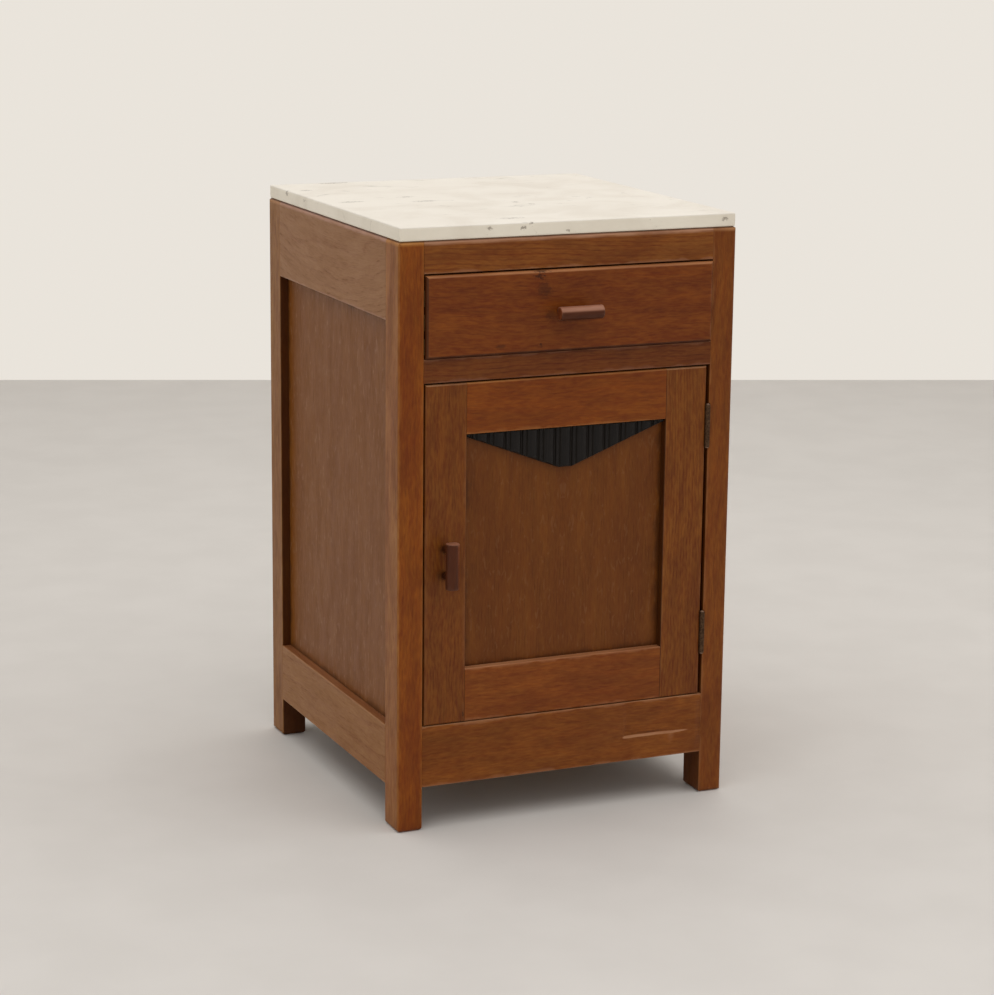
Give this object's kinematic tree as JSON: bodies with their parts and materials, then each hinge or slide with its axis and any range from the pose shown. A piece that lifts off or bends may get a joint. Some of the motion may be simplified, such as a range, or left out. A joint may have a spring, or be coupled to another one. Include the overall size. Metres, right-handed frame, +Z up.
{
  "type": "nightstand",
  "caption": "Square-legged oak nightstand with a loose marble slab top, a sliding drawer above a hinged panel door, bar pulls and a ribbed black drop ornament.",
  "frame": {"origin": "on the floor, at the middle of the whole object's footprint, pulls included", "axes": "+Z up, +X to the right as seen from the front, front towards -Y"},
  "size_m": [0.432, 0.483, 0.72],
  "materials": {
    "oak": "brown stained oak, waxed, satin",
    "oak_panel": "brown stained oak panel, waxed",
    "inner_wood": "plain planed softwood, unfinished",
    "marble": "honed pale marble with grey veins",
    "ebonised_wood": "black stained, satin",
    "pull_wood": "dark reddish hardwood, polished by hand",
    "dark_steel": "dark patinated steel",
    "brass": "dulled brass"
  },
  "bodies": {
    "carcass": {"front_left_leg": "oak", "front_right_leg": "oak", "rear_left_leg": "oak", "rear_right_leg": "oak", "left_top_rail": "oak", "left_bottom_rail": "oak", "right_top_rail": "oak", "right_bottom_rail": "oak", "front_top_rail": "oak", "drawer_divider_rail": "oak", "front_bottom_rail": "oak", "left_side_panel": "oak_panel", "right_side_panel": "oak_panel", "back_top_rail": "inner_wood", "back_bottom_rail": "inner_wood", "back_panel": "inner_wood", "cupboard_floor": "inner_wood", "left_floor_cleat": "inner_wood", "right_floor_cleat": "inner_wood", "left_drawer_runner": "inner_wood", "right_drawer_runner": "inner_wood", "left_drawer_guide": "inner_wood", "right_drawer_guide": "inner_wood", "left_drawer_kicker": "inner_wood", "right_drawer_kicker": "inner_wood", "drawer_stops": "inner_wood", "door_stop": "inner_wood", "marble_top": "marble", "upper_hinge_leg_leaf": "dark_steel", "lower_hinge_leg_leaf": "dark_steel", "upper_hinge_pin": "dark_steel", "lower_hinge_pin": "dark_steel", "hinge_leg_screws": "dark_steel", "floor_cleat_screws": "dark_steel", "catch_strike_screws": "dark_steel", "catch_strike_plate": "brass"},
    "drawer": {"drawer_front": "oak", "drawer_left_side": "inner_wood", "drawer_right_side": "inner_wood", "drawer_back": "inner_wood", "drawer_bottom": "inner_wood", "drawer_bottom_screws": "dark_steel", "drawer_pull_bar": "pull_wood", "drawer_pull_posts": "pull_wood", "drawer_pull_screws": "dark_steel"},
    "door": {"door_lock_stile": "oak", "door_hinge_stile": "oak", "door_top_rail": "oak", "door_bottom_rail": "oak", "door_panel": "oak_panel", "door_ornament": "ebonised_wood", "door_pull_bar": "pull_wood", "door_pull_posts": "pull_wood", "door_pull_screws": "dark_steel", "upper_hinge_door_leaf": "dark_steel", "lower_hinge_door_leaf": "dark_steel", "hinge_door_screws": "dark_steel", "catch_barrel": "brass", "catch_spring": "dark_steel"},
    "catch_ball": {"catch_ball": "dark_steel"}
  },
  "joints": [
    {"name": "drawer_slide", "type": "slide", "parent": "carcass", "child": "drawer", "axis": [0, -1, 0], "range_m": [0, 0.27]},
    {"name": "door_swing", "type": "hinge", "parent": "carcass", "child": "door", "pos_m": [0.18325, -0.2072, 0.3357], "axis": [0, 0, 1], "range_deg": [0, 180]},
    {"name": "catch_ball_press", "type": "slide", "parent": "door", "child": "catch_ball", "axis": [1, 0, 0], "range_m": [0, 0.0018], "stiffness_N_per_m": 200, "deforming": ["catch_spring"]}
  ]
}
